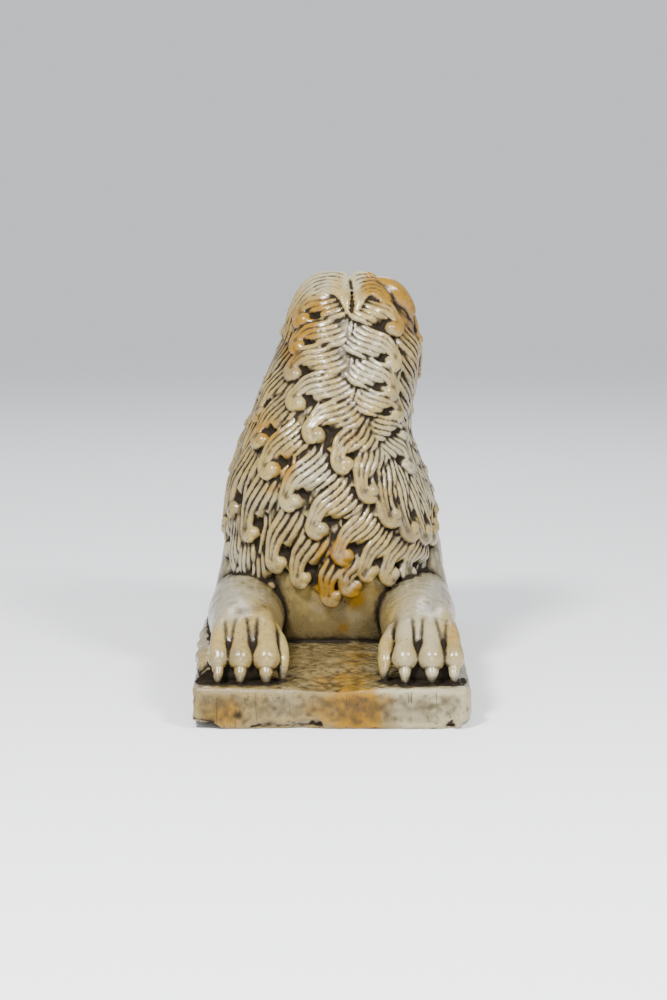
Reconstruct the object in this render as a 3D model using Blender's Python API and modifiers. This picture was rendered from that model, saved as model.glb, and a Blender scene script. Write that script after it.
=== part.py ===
import bmesh
import bpy
from math import atan2, cos, floor, pi, radians, sin, sqrt
from mathutils import Vector

# Plinth in metres, X across, Y from the front (-Y) to the back, Z up
PLINTH_WIDTH = 0.290
PLINTH_LENGTH = 0.600
PLINTH_HEIGHT = 0.043
PLINTH_EDGE = 0.003

# Wear of the plinth: dip of its front top edge, broken front corner, rounded front corner
DIP_DEPTH = 0.004
DIP_REACH = 0.035
BREAK_WIDTH = 0.032
BREAK_HEIGHT = 0.009
ROUNDED_CORNER = 0.012

# Height of the lion above the plinth, and the number of carving units it is divided into
FIGURE_HEIGHT = 0.412
CARVING_HEIGHT = 412
UNIT = FIGURE_HEIGHT / CARVING_HEIGHT

# Column seat: its radius, how far it stands above the back and how deep it is rooted in it
SEAT_RADIUS = 0.056
SEAT_STAND = 0.012
SEAT_ROOT = 0.045

# Place of the seat along the back and height of the back there, in carving units
SEAT_PLACE = 188
BACK_HEIGHT = 214

# Grain of the fused skin in carving units, and the faces kept of it
GRAIN = 2.4
FACES_KEPT = 8900

# Strands cut into each lock
STRANDS = 2

# Neck and mane, from the ground up: height, middle, half width, reach to the front, reach to the back
MANE_SECTIONS = [
    (-6, 0, 112, 66, 120),
    (12, 0, 113, 78, 124),
    (40, 0, 114, 94, 126),
    (75, 0, 113, 106, 126),
    (107, -2, 114, 112, 126),
    (147, -2, 113, 116, 124),
    (187, -6, 104, 115, 118),
    (227, -6, 91, 105, 104),
    (257, 1, 84, 95, 88),
    (287, 10, 81, 85, 74),
    (317, 19, 77, 75, 66),
    (347, 21, 70, 63, 58),
    (367, 22, 63, 53, 50),
    (387, 22, 51, 41, 40),
    (398, 20, 40, 30, 30),
    (406, 19, 24, 17, 17),
]

# Body behind the mane: station, middle height, half width, half height
BODY_SECTIONS = [
    (-60, 106, 98, 104),
    (0, 112, 100, 112),
    (80, 112, 94, 112),
    (150, 112, 96, 112),
    (215, 102, 98, 102),
    (258, 88, 84, 84),
    (284, 76, 54, 58),
    (294, 70, 24, 30),
]

# Tiers of locks as (angle, height) pairs round the neck: angle 0 faces the front, positive to +X
# Each station is root angle, root height, tip angle, tip height; turn is the side the curl hooks to
LOCK_TIERS = [
    {"count": 4, "turn": 1, "width": 20, "curl": 6.5, "stations": [
        (-80, 150, -77, 104), (-66, 124, -60, 82), (-52, 114, -48, 78), (-42, 106, -36, 70)]},
    {"count": 7, "turn": 1, "width": 30, "curl": 9.0, "stations": [
        (-80, 200, -84, 130), (-54, 232, -66, 152), (-34, 206, -46, 130), (-15, 176, -28, 100),
        (-3, 148, -15, 84), (8, 122, 1, 64), (18, 106, 12, 76)]},
    {"count": 4, "turn": -1, "width": 34, "curl": 7.0, "stations": [
        (86, 250, 92, 190), (90, 216, 93, 158), (88, 184, 90, 128)]},
    {"count": 3, "turn": -1, "width": 24, "curl": 0, "stations": [
        (84, 238, 96, 196), (88, 214, 98, 172), (84, 190, 92, 150)]},
    {"count": 3, "turn": 1, "width": 28, "curl": 0, "stations": [
        (-34, 404, -74, 332), (-70, 364, -84, 284), (-66, 318, -84, 236)]},
    {"count": 10, "turn": 1, "width": 32, "curl": 9.5, "stations": [
        (-54, 352, -75, 280), (-30, 284, -45, 222), (12, 208, -12, 154), (36, 146, 18, 94), (62, 124, 47, 84)]},
    {"count": 4, "turn": -1, "width": 20, "curl": 0, "stations": [
        (46, 352, 68, 312), (46, 318, 72, 276), (54, 284, 76, 248)]},
    {"count": 4, "turn": -1, "width": 26, "curl": 6.0, "stations": [
        (66, 392, 84, 338), (82, 360, 94, 300), (84, 318, 94, 258), (76, 270, 86, 218)]},
    {"count": 11, "turn": 1, "width": 33, "curl": 10.0, "stations": [
        (-8, 386, -48, 358), (-3, 318, -36, 286), (25, 252, 12, 208), (38, 230, 42, 140), (50, 214, 78, 120)]},
    {"count": 6, "turn": -1, "width": 31, "curl": 9.0, "stations": [
        (1, 384, 38, 350), (0, 342, 34, 306), (10, 302, 42, 270), (24, 264, 60, 240), (42, 238, 58, 200)]},
    {"count": 5, "turn": 1, "width": 34, "curl": 8.0, "stations": [
        (-96, 396, -104, 346), (-100, 330, -106, 276), (-100, 262, -104, 206), (-98, 196, -100, 140)]},
    {"count": 5, "turn": -1, "width": 34, "curl": 8.0, "stations": [
        (102, 396, 110, 346), (106, 330, 112, 276), (106, 262, 110, 206), (104, 196, 106, 140)]},
    {"count": 5, "turn": 1, "width": 34, "curl": 8.0, "stations": [
        (-118, 398, -128, 352), (-124, 330, -132, 276), (-126, 262, -134, 206)]},
    {"count": 5, "turn": -1, "width": 34, "curl": 8.0, "stations": [
        (118, 398, 130, 352), (126, 330, 136, 276), (130, 262, 140, 206)]},
    {"count": 5, "turn": 1, "width": 34, "curl": 8.0, "stations": [
        (136, 312, 142, 256), (172, 296, 174, 240), (214, 312, 210, 256)]},
]

# Whorls of hair at the top, inner strand then outer strand, as angle and height
LEFT_WHORL = ([(-3, 366), (-14, 382), (-30, 386), (-44, 376), (-52, 356), (-60, 330)],
              [(-2, 392), (-8, 402), (-40, 404.5), (-76, 399), (-92, 380), (-98, 350)])
RIGHT_WHORL = ([(3, 366), (14, 381), (25, 384), (33, 374), (38, 358)],
               [(2, 392), (8, 402), (40, 403), (48, 393), (50, 380)])
WHORL_STRAND = 3.6

# Main toes of each fore paw from its outer or inner side: wrist, knuckle and tip across, radius
LEFT_TOES = [(-112, -116, -118, 10.5), (-94, -95, -95, 12), (-74, -70, -68, 13)]
RIGHT_TOES = [(82, 78, 76, 12), (100, 103, 104, 13), (118, 124, 127, 10)]

# Ear showing beside the crown: angle, height and radius along it
NEAR_EAR = [(38, 398, 8), (50, 394, 12), (62, 384, 14), (72, 371, 12), (76, 362, 9)]


def blend(table, column, key):
    """Value of a column of a table of sections at a key, on a smooth curve through its rows."""
    key = min(max(key, table[0][0]), table[-1][0])
    row = 1
    while table[row][0] < key:
        row += 1
    slopes = []
    for place in (row - 1, row):
        low = table[max(place - 1, 0)]
        high = table[min(place + 1, len(table) - 1)]
        slopes.append((high[column] - low[column]) / (high[0] - low[0]))
    span = table[row][0] - table[row - 1][0]
    t = (key - table[row - 1][0]) / span
    ease = t * t * (3 - 2 * t)
    bend = slopes[0] * t * (1 - t) ** 2 - slopes[1] * t * t * (1 - t)
    return table[row - 1][column] * (1 - ease) + table[row][column] * ease + bend * span


def along(stations, share):
    """Point a share of the way along a smooth curve through the stations."""
    last = len(stations) - 1
    place = min(max(share, 0.0), 1.0) * last
    start = min(int(floor(place)), last - 1)
    t = place - start
    near = stations[start]
    far = stations[start + 1]
    before = stations[start - 1] if start > 0 else [2 * a - b for a, b in zip(near, far)]
    after = stations[start + 2] if start + 2 <= last else [2 * b - a for a, b in zip(near, far)]
    return [0.5 * (2 * p + (q - o) * t + (2 * o - 5 * p + 4 * q - r) * t ** 2
                   + (3 * p - o - 3 * q + r) * t ** 3)
            for o, p, q, r in zip(before, near, far, after)]


def on_mane(angle, height):
    """Point of the bare neck at an angle and a height."""
    middle = blend(MANE_SECTIONS, 1, height)
    side = blend(MANE_SECTIONS, 2, height)
    reach = blend(MANE_SECTIONS, 3 if cos(angle) > 0 else 4, height)
    return Vector((middle + side * sin(angle), -reach * cos(angle), height))


def mane_normal(angle, height):
    """Outward direction of the bare neck."""
    round_step = on_mane(angle + 0.03, height) - on_mane(angle - 0.03, height)
    up_step = on_mane(angle, height + 3) - on_mane(angle, height - 3)
    return round_step.cross(up_step).normalized()


def settle(point, lift):
    """Point of the neck under a point near it, raised by lift."""
    height = min(max(point.z, -4), 405)
    middle = blend(MANE_SECTIONS, 1, height)
    side = blend(MANE_SECTIONS, 2, height)
    reach = blend(MANE_SECTIONS, 3 if point.y < 0 else 4, height)
    angle = atan2((point.x - middle) / side, -point.y / reach)
    return on_mane(angle, height) + mane_normal(angle, height) * lift


def smooth_step(share):
    share = min(max(share, 0.0), 1.0)
    return share * share * (3 - 2 * share)


def lock_strands(root, tip, turn, width, curl, strands):
    """Strands, pad and curl of one lock lying on the neck."""
    start = on_mane(radians(root[0]), root[1])
    end = on_mane(radians(tip[0]), tip[1])
    down = (end - start).normalized()
    out = mane_normal(radians((root[0] + tip[0]) / 2), (root[1] + tip[1]) / 2)
    hook = out.cross(down).normalized() * turn
    length = (end - start).length
    hair = min(width / strands * 0.53, width * 0.19)
    ring = max(curl * 1.75, width * 0.3)
    lines = []
    for index in range(strands):
        share = index / (strands - 1)
        line = []
        for step in range(12):
            run = step / 11
            spread = (share - 0.5) * width * (0.8 + 0.2 * smooth_step(run * 2))
            bowed = spread + width * (0.16 * sin(pi * run) - 0.30 * smooth_step(run * 1.3))
            landing = share * ring * 0.85 - ring
            sideways = bowed + (landing - bowed) * smooth_step((run - 0.4) / 0.6)
            point = start + down * (length * run) + hook * sideways
            line.append((settle(point, -2 + 8 * smooth_step(run * 1.2)), hair * (0.75 + 0.25 * sin(pi * run))))
        for step in range(1, 6 if curl else 1):
            sweep = radians(180 - step * 30 * (1 - share * 0.8))
            reach = ring * (1 - share * 0.85) * (1 - 0.10 * step)
            point = end + hook * (cos(sweep) * reach) + down * (sin(sweep) * reach)
            line.append((settle(point, 6 - 0.5 * step), hair * (0.8 - 0.07 * step)))
        lines.append(line)
    pad = []
    for step in range(8):
        run = step / 7
        sideways = width * (0.16 * sin(pi * run) - 0.30 * smooth_step(run * 1.3))
        point = start + down * (length * run * 0.95) + hook * sideways
        radius = width * (0.42 - 0.14 * run)
        pad.append((settle(point, -2 + 6.5 * smooth_step(run * 1.2) - radius), radius))
    lines.append(pad)
    if curl:
        lines.append(ball_line(settle(end, 3), out, curl))
    return lines


def whorl_strands(whorl, strands):
    """Strands arching up from the parting over one side of the crown."""
    near, far = whorl
    lines = []
    for index in range(strands):
        share = index / (strands - 1)
        line = []
        for step in range(17):
            inner, outer = along(near, step / 16), along(far, step / 16)
            angle, height = [a + (b - a) * share for a, b in zip(inner, outer)]
            lift = 5.5 - 2.5 * smooth_step(1 - step / 3) - 3 * smooth_step((step - 13) / 3)
            line.append((on_mane(radians(angle), height) + mane_normal(radians(angle), height) * lift, WHORL_STRAND))
        lines.append(line)
    return lines


def ball_line(centre, axis, radius):
    """Short line whose thickness swells and closes like a ball."""
    line = []
    for step in range(9):
        place = -cos(pi * step / 8)
        line.append((centre + axis * (radius * place), radius * sqrt(max(1 - place * place, 0.002))))
    return line


def new_collection(name):
    collection = bpy.data.collections.new(name)
    bpy.context.scene.collection.children.link(collection)
    return collection


def add_mesh(name, points, faces, collection):
    mesh = bpy.data.meshes.new(name)
    mesh.from_pydata([tuple(p) for p in points], [], faces)
    mesh.update()
    made = bpy.data.objects.new(name, mesh)
    collection.objects.link(made)
    return made


def add_tubes(name, lines, sides, collection):
    """Closed round tubes along lines of (point, radius) in carving units."""
    curve = bpy.data.curves.new(name, "CURVE")
    curve.dimensions = "3D"
    curve.bevel_depth = UNIT
    curve.bevel_resolution = sides
    curve.use_fill_caps = True
    for line in lines:
        spline = curve.splines.new("POLY")
        spline.points.add(len(line) - 1)
        for slot, (point, radius) in zip(spline.points, line):
            slot.co = (point[0] * UNIT, point[1] * UNIT, point[2] * UNIT + PLINTH_HEIGHT, 1)
            slot.radius = radius
    made = bpy.data.objects.new(name, curve)
    collection.objects.link(made)
    return made


def swept(stations, count):
    """Line of (point, radius) along a smooth curve through stations of x, y, z and radius."""
    return [(values[:3], values[3]) for values in (along(stations, i / (count - 1)) for i in range(count))]


def add_rings(name, rings, collection):
    """Closed skin over rings of points in carving units."""
    size = len(rings[0])
    points = [(p[0] * UNIT, p[1] * UNIT, p[2] * UNIT + PLINTH_HEIGHT) for ring in rings for p in ring]
    faces = []
    for row in range(len(rings) - 1):
        for i in range(size):
            j = (i + 1) % size
            faces.append((row * size + i, row * size + j, (row + 1) * size + j, (row + 1) * size + i))
    faces.append(tuple(reversed(range(size))))
    faces.append(tuple(range((len(rings) - 1) * size, len(rings) * size)))
    return add_mesh(name, points, faces, collection)


def move_to(made, name, collection):
    made.name = name
    for home in made.users_collection:
        home.objects.unlink(made)
    collection.objects.link(made)
    return made


def add_ellipsoid(name, centre, radii, turn, collection):
    """Ball with three radii in carving units, turned about the upright by degrees."""
    place = (centre[0] * UNIT, centre[1] * UNIT, centre[2] * UNIT + PLINTH_HEIGHT)
    bpy.ops.mesh.primitive_uv_sphere_add(segments=40, ring_count=24, radius=UNIT, location=place,
                                         rotation=(0, 0, radians(turn)), scale=radii)
    return move_to(bpy.context.active_object, name, collection)


def build_core(collection):
    """Neck, mane ground and body."""
    heights = [MANE_SECTIONS[0][0] + i * 5.5 for i in range(76)]
    heights = [h for h in heights if h < MANE_SECTIONS[-1][0]] + [MANE_SECTIONS[-1][0]]
    neck = [[on_mane(2 * pi * i / 64, height) for i in range(64)] for height in heights]
    body = []
    for station in range(36):
        y = BODY_SECTIONS[0][0] + (BODY_SECTIONS[-1][0] - BODY_SECTIONS[0][0]) * station / 35
        middle = blend(BODY_SECTIONS, 1, y)
        side = blend(BODY_SECTIONS, 2, y)
        tall = blend(BODY_SECTIONS, 3, y)
        body.append([(side * cos(2 * pi * i / 48), y, middle - tall * sin(2 * pi * i / 48)) for i in range(48)])
    return [add_rings("neck", neck, collection), add_rings("body", body, collection)]


def build_fore_limb(side, toes, inner_toe, collection):
    """Upper arm, forearm and paw; side is -1 for -X."""
    arm = swept([(side * 78, 10, 120, 40), (side * 82, 0, 80, 43), (side * 90, -20, 42, 43),
                 (side * 94, -90, 38, 42), (side * 92, -165, 38, 39), (side * 91, -205, 35, 34),
                 (side * 91, -230, 25, 23)], 28)
    lines = [arm]
    for wrist_x, knuckle_x, tip_x, radius in toes:
        lines.append(swept([(wrist_x, -170, 50, radius), (wrist_x, -206, 55, radius),
                            (knuckle_x, -238, 48, radius * 0.94), (tip_x, -256, 36, radius * 0.88),
                            (tip_x, -264, 27, radius * 1.1), (tip_x, -264, 20, radius)], 18))
        lines.append(ball_line(Vector((tip_x, -265, 25)), Vector((0, 0, 1)), radius * 1.14))
        lines.append(swept([(tip_x, -269, 18, radius * 0.62), (tip_x, -276, 11, radius * 0.52),
                            (tip_x, -279, 5, radius * 0.38), (tip_x, -280, 0, radius * 0.24)], 10))
    for one, other in zip(toes, toes[1:]):
        x = (one[1] + other[1]) / 2
        lines.append(swept([(x, -176, 52, 17), (x, -208, 52, 16), (x, -236, 45, 13), (x, -250, 32, 10),
                            (x, -254, 12, 9)], 12))
    x, radius = inner_toe
    lines.append(swept([(x + side * 8, -215, 48, radius), (x, -240, 36, radius), (x - side * 2, -256, 22, radius),
                        (x - side * 3, -262, 8, radius * 0.6), (x - side * 3, -263, -2, radius * 0.4)], 14))
    return add_tubes("fore_limb", lines, 8, collection)


def build_hind_limb(side, collection):
    """Haunch, shank and hind paw lying along the body."""
    haunch = add_ellipsoid("haunch", (side * 78, 190, 78), (47, 88, 78), -side * 4, collection)
    lines = [swept([(side * 100, 262, 26, 26), (side * 108, 200, 24, 24), (side * 112, 130, 22, 21),
                    (side * 113, 90, 20, 22), (side * 113, 66, 17, 18)], 18)]
    for offset in (-15, -5, 5, 15):
        lines.append(swept([(side * 113 + offset * 0.8, 90, 24, 8), (side * 113 + offset, 60, 22, 8),
                            (side * 113 + offset, 46, 12, 7.5)], 8))
    return [haunch, add_tubes("hind_foot", lines, 4, collection)]


def build_tail(collection):
    """Tail hanging behind the rump and lying forward over one haunch."""
    line = swept([(0, 262, 118, 12), (14, 284, 96, 11), (34, 288, 52, 9.5), (62, 284, 24, 9), (98, 268, 20, 9),
                  (122, 236, 26, 9), (124, 200, 48, 9.5), (118, 168, 78, 11), (110, 146, 100, 14),
                  (104, 132, 112, 10), (100, 122, 118, 4)], 44)
    return add_tubes("tail", [line], 4, collection)


def build_ground(collection):
    """Rough stone left on the plinth between the paws and along one side."""
    rough = swept([(-126, -264, 4, 12), (-130, -225, 16, 13), (-131, -170, 18, 13), (-127, -100, 22, 16),
                   (-122, -40, 26, 16)], 16)
    return [add_ellipsoid("ground", (0, -130, -5), (78, 150, 11), 0, collection),
            add_tubes("rough_side", [rough], 4, collection)]


def build_head(collection):
    """Head looking back over the body, a little towards +X."""
    turn = -12
    facing = radians(turn)

    def place(sideways, forward, height):
        return Vector((22 + sideways * cos(facing) - forward * sin(facing),
                       sideways * sin(facing) + forward * cos(facing), height))

    parts = [
        add_ellipsoid("skull", place(0, 34, 344), (50, 56, 46), turn, collection),
        add_ellipsoid("cheek", place(-26, 58, 322), (26, 34, 30), turn, collection),
        add_ellipsoid("cheek", place(26, 58, 322), (26, 34, 30), turn, collection),
        add_ellipsoid("muzzle", place(0, 92, 322), (26, 36, 20), turn, collection),
        add_ellipsoid("jaw", place(0, 84, 300), (20, 32, 13), turn, collection),
    ]
    lines = [
        swept([(*place(0, 66, 372), 12), (*place(0, 92, 350), 11), (*place(0, 120, 338), 11),
               (*place(0, 127, 330), 8)], 12),
        swept([(*place(-14, 120, 330), 5), (*place(0, 128, 335), 8), (*place(14, 120, 330), 5)], 9),
    ]
    for side in (-1, 1):
        lines.append(swept([(*place(side * 10, 84, 361), 5), (*place(side * 24, 82, 365), 7),
                            (*place(side * 40, 66, 356), 5)], 9))
        lines.append(ball_line(place(side * 23, 82, 351), Vector((0, 0, 1)), 8))
        lines.append(ball_line(place(side * 12, 110, 318), Vector((0, 0, 1)), 15))
        lines.append(swept([(*place(side * 40, 44, 356), 9), (*place(side * 48, 40, 368), 10),
                            (*place(side * 50, 38, 376), 4)], 8))
    parts.append(add_tubes("features", lines, 4, collection))
    return parts


def build_mane(strands, collection):
    """Every lock of the tiers."""
    lines = []
    for tier in LOCK_TIERS:
        for index in range(tier["count"]):
            values = along(tier["stations"], index / (tier["count"] - 1))
            lines += lock_strands(values[:2], values[2:], tier["turn"], tier["width"], tier["curl"], strands)
    lines += whorl_strands(LEFT_WHORL, strands + 2) + whorl_strands(RIGHT_WHORL, strands + 2)
    ear = [along(NEAR_EAR, step / 8) for step in range(9)]
    lines.append([(on_mane(radians(a), h) + mane_normal(radians(a), h) * (r * 0.25 - 2), r) for a, h, r in ear])
    return add_tubes("mane", lines, 3, collection)


def fuse(parts, name):
    """One closed skin from overlapping parts."""
    bpy.ops.object.select_all(action="DESELECT")
    for part in parts:
        part.select_set(True)
    bpy.context.view_layer.objects.active = parts[0]
    bpy.ops.object.convert(target="MESH")
    bpy.ops.object.join()
    fused = bpy.context.view_layer.objects.active
    fused.name = name
    remesh = fused.modifiers.new("fuse", "REMESH")
    remesh.mode = "VOXEL"
    remesh.voxel_size = GRAIN * UNIT
    remesh.adaptivity = 0
    relax = fused.modifiers.new("relax", "SMOOTH")
    relax.factor = 0.5
    relax.iterations = 2
    bpy.ops.object.modifier_apply(modifier=remesh.name)
    bpy.ops.object.modifier_apply(modifier=relax.name)
    return fused


def keep_outer_skin(target):
    """Only the largest connected skin, without the closed pockets left inside it."""
    mesh = bmesh.new()
    mesh.from_mesh(target.data)
    waiting = set(mesh.verts)
    largest = set()
    while waiting:
        island = set()
        front = [waiting.pop()]
        while front:
            vertex = front.pop()
            island.add(vertex)
            for edge in vertex.link_edges:
                other = edge.other_vert(vertex)
                if other in waiting:
                    waiting.remove(other)
                    front.append(other)
        if len(island) > len(largest):
            largest = island
    pockets = [vertex for vertex in mesh.verts if vertex not in largest]
    bmesh.ops.delete(mesh, geom=pockets, context="VERTS")
    mesh.to_mesh(target.data)
    mesh.free()


def thin_out(target, faces_kept):
    """Fewer faces where the form is plain."""
    bpy.context.view_layer.objects.active = target
    triangles = sum(len(face.vertices) - 2 for face in target.data.polygons)
    thin = target.modifiers.new("thin", "DECIMATE")
    thin.ratio = min(1.0, faces_kept / triangles)
    bpy.ops.object.modifier_apply(modifier=thin.name)


def build_plinth(collection, cutters):
    """Plinth with worn and broken edges."""
    bpy.ops.mesh.primitive_cube_add(size=1, location=(0, 0, PLINTH_HEIGHT / 2))
    plinth = move_to(bpy.context.active_object, "plinth", collection)
    plinth.scale = (PLINTH_WIDTH, PLINTH_LENGTH, PLINTH_HEIGHT)
    bpy.ops.object.transform_apply(location=True, rotation=False, scale=True)
    edge = plinth.modifiers.new("edge", "BEVEL")
    edge.width = PLINTH_EDGE
    edge.segments = 2
    bpy.ops.object.modifier_apply(modifier=edge.name)
    front = -PLINTH_LENGTH / 2
    side = PLINTH_WIDTH / 2
    wear = [
        ((0, front, PLINTH_HEIGHT), (PLINTH_WIDTH * 0.46, DIP_REACH, DIP_DEPTH)),
        ((-side, front, 0), (BREAK_WIDTH, BREAK_WIDTH * 0.5, BREAK_HEIGHT)),
    ]
    for centre, radii in wear:
        bpy.ops.mesh.primitive_uv_sphere_add(segments=32, ring_count=16, radius=1, location=centre, scale=radii)
        cut_away(plinth, move_to(bpy.context.active_object, "wear", cutters))
    reach = ROUNDED_CORNER * sqrt(2)
    bpy.ops.mesh.primitive_cube_add(size=reach, location=(side, front, 0), rotation=(0, pi / 4, 0),
                                    scale=(1, 4, 1))
    cut_away(plinth, move_to(bpy.context.active_object, "chamfer", cutters))
    return plinth


def build_seat(collection):
    """Round seat for the base of a column, set into the back."""
    top = PLINTH_HEIGHT + BACK_HEIGHT * UNIT + SEAT_STAND
    bpy.ops.mesh.primitive_cylinder_add(vertices=48, radius=SEAT_RADIUS, depth=SEAT_STAND + SEAT_ROOT,
                                        location=(0, SEAT_PLACE * UNIT, top - (SEAT_STAND + SEAT_ROOT) / 2))
    return move_to(bpy.context.active_object, "seat", collection)


def combine(target, other, operation):
    bpy.context.view_layer.objects.active = target
    merge = target.modifiers.new("combine", "BOOLEAN")
    merge.operation = operation
    merge.solver = "EXACT"
    merge.object = other
    bpy.ops.object.modifier_apply(modifier=merge.name)
    bpy.data.objects.remove(other)


def cut_away(target, cutter):
    cutter.hide_render = True
    cutter.display_type = "WIRE"
    combine(target, cutter, "DIFFERENCE")


def stone():
    material = bpy.data.materials.new("marble")
    material.use_nodes = True
    shader = material.node_tree.nodes["Principled BSDF"]
    shader.inputs["Base Color"].default_value = (0.62, 0.52, 0.33, 1)
    shader.inputs["Roughness"].default_value = 0.32
    return material


for left_over in list(bpy.data.objects):
    bpy.data.objects.remove(left_over)

carving = new_collection("column_lion")
cutters = new_collection("cutters")
forms = build_core(carving)
forms.append(build_fore_limb(-1, LEFT_TOES, (-54, 8), carving))
forms.append(build_fore_limb(1, RIGHT_TOES, (58, 8), carving))
for hind_side in (-1, 1):
    forms += build_hind_limb(hind_side, carving)
forms.append(build_tail(carving))
forms += build_ground(carving)
forms += build_head(carving)
forms.append(build_mane(STRANDS, carving))
lion = fuse(forms, "lion")
keep_outer_skin(lion)
thin_out(lion, FACES_KEPT)
combine(lion, build_plinth(carving, cutters), "UNION")
combine(lion, build_seat(carving), "UNION")
keep_outer_skin(lion)
lion.data.materials.clear()
lion.data.materials.append(stone())
lion.data.shade_smooth()
lion.data.set_sharp_from_angle(angle=radians(45))
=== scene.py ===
import math
import bpy
import numpy as np
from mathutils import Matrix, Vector, kdtree


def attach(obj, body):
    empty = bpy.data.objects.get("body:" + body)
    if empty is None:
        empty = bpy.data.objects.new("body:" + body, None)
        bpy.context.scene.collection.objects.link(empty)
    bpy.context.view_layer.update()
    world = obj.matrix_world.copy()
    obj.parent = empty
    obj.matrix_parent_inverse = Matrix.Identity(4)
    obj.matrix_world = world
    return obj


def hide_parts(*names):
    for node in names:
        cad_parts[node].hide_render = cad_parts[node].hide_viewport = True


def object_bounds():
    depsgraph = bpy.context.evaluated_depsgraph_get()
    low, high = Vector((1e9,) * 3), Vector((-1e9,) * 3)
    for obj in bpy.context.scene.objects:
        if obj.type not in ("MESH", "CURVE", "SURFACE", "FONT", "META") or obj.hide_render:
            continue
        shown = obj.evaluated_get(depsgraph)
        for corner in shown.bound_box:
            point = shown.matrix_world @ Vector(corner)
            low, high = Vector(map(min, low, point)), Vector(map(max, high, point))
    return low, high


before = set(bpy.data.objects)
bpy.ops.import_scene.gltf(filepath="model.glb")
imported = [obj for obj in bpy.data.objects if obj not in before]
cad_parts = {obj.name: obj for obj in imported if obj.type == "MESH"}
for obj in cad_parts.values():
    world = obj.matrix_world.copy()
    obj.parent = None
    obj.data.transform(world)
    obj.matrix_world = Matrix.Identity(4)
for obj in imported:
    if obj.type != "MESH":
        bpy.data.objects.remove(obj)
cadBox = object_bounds()
bpy.ops.object.select_all(action="DESELECT")

# sizes shared by the whole carving, metres; the carving unit is a millimetre at full size
block = {"plinthWidth": 0.290, "plinthLength": 0.600, "plinthHeight": 0.043, "figureHeight": 0.412, "units": 412}
unit = block["figureHeight"] / block["units"]
ground = block["plinthHeight"]


# curves and rows of numbers

def readRows(rows, column, key):
    key = min(max(key, rows[0][0]), rows[-1][0])
    row = 1
    while rows[row][0] < key:
        row += 1
    slopes = []
    for place in (row - 1, row):
        low = rows[max(place - 1, 0)]
        high = rows[min(place + 1, len(rows) - 1)]
        slopes.append((high[column] - low[column]) / (high[0] - low[0]))
    span = rows[row][0] - rows[row - 1][0]
    t = (key - rows[row - 1][0]) / span
    ease = t * t * (3 - 2 * t)
    bend = slopes[0] * t * (1 - t) ** 2 - slopes[1] * t * t * (1 - t)
    return rows[row - 1][column] * (1 - ease) + rows[row][column] * ease + bend * span


def onCurve(stations, share):
    last = len(stations) - 1
    place = min(max(share, 0.0), 1.0) * last
    start = min(int(place), last - 1)
    t = place - start
    near, far = stations[start], stations[start + 1]
    before = stations[start - 1] if start > 0 else [2 * a - b for a, b in zip(near, far)]
    after = stations[start + 2] if start + 2 <= last else [2 * b - a for a, b in zip(near, far)]
    return [0.5 * (2 * p + (q - o) * t + (2 * o - 5 * p + 4 * q - r) * t ** 2 + (3 * p - o - 3 * q + r) * t ** 3)
            for o, p, q, r in zip(before, near, far, after)]


def eased(share):
    share = min(max(share, 0.0), 1.0)
    return share * share * (3 - 2 * share)


def wobble(seed, size):
    return size * (math.sin(seed * 12.9898) * 43758.5453 % 1 * 2 - 1)      # the same every run


# neck

neckSettings = {
    # height, middle, half width, reach to the front, reach to the back
    "rows": [
        (-6, 0, 112, 66, 120), (12, 0, 113, 78, 124), (40, 0, 114, 94, 126), (75, 0, 113, 106, 126),
        (107, -2, 114, 112, 126), (147, -2, 113, 116, 124), (187, -6, 104, 115, 118), (227, -6, 91, 105, 104),
        (257, 1, 84, 95, 88), (287, 10, 81, 85, 74), (317, 19, 77, 75, 66), (347, 21, 70, 63, 58),
        (367, 22, 63, 53, 50), (387, 22, 51, 41, 40), (398, 20, 40, 30, 30), (406, 19, 24, 17, 17)],
    "top": 405, "around": 96, "levels": 110,
}


def onNeck(angle, height):
    rows = neckSettings["rows"]
    middle, side = readRows(rows, 1, height), readRows(rows, 2, height)
    reach = readRows(rows, 3 if math.cos(angle) > 0 else 4, height)
    return Vector((middle + side * math.sin(angle), -reach * math.cos(angle), height))


def neckOut(angle, height):
    aside = onNeck(angle + 0.03, height) - onNeck(angle - 0.03, height)
    upward = onNeck(angle, height + 3) - onNeck(angle, height - 3)
    return aside.cross(upward).normalized()


def layOn(point, lift):
    rows = neckSettings["rows"]
    height = min(max(point.z, -4), neckSettings["top"])
    middle, side = readRows(rows, 1, height), readRows(rows, 2, height)
    reach = readRows(rows, 3 if point.y < 0 else 4, height)
    angle = math.atan2((point.x - middle) / side, -point.y / reach)
    return onNeck(angle, height) + neckOut(angle, height) * lift


# locks of the mane

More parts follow.
